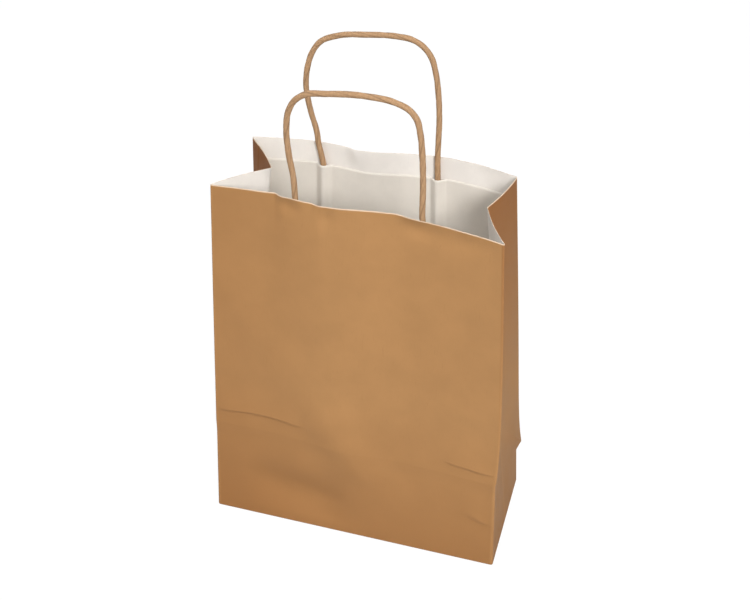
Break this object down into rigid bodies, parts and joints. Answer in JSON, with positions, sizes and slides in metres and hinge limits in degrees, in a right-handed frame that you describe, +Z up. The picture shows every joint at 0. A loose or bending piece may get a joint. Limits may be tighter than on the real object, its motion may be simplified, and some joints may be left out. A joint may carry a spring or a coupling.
{
  "type": "paper carrier bag",
  "caption": "Standing brown paper carrier bag with side gussets, block bottom and twisted paper cord handles held by inner patches.",
  "frame": {"origin": "middle of the block bottom, on the surface that the bag stands on", "axes": "+Z up, front panel towards -Y, +X to the right of someone who faces the front panel"},
  "size_m": [0.2513, 0.1244, 0.409],
  "materials": {
    "kraft_paper": "matt brown face outside, white face inside",
    "white_paper": "matt",
    "twisted_paper": "matt twisted cord"
  },
  "bodies": {
    "root": {"bag_body": "kraft_paper", "front_handle_patch": "white_paper", "back_handle_patch": "white_paper", "front_handle": "twisted_paper", "back_handle": "twisted_paper"}
  },
  "joints": []
}
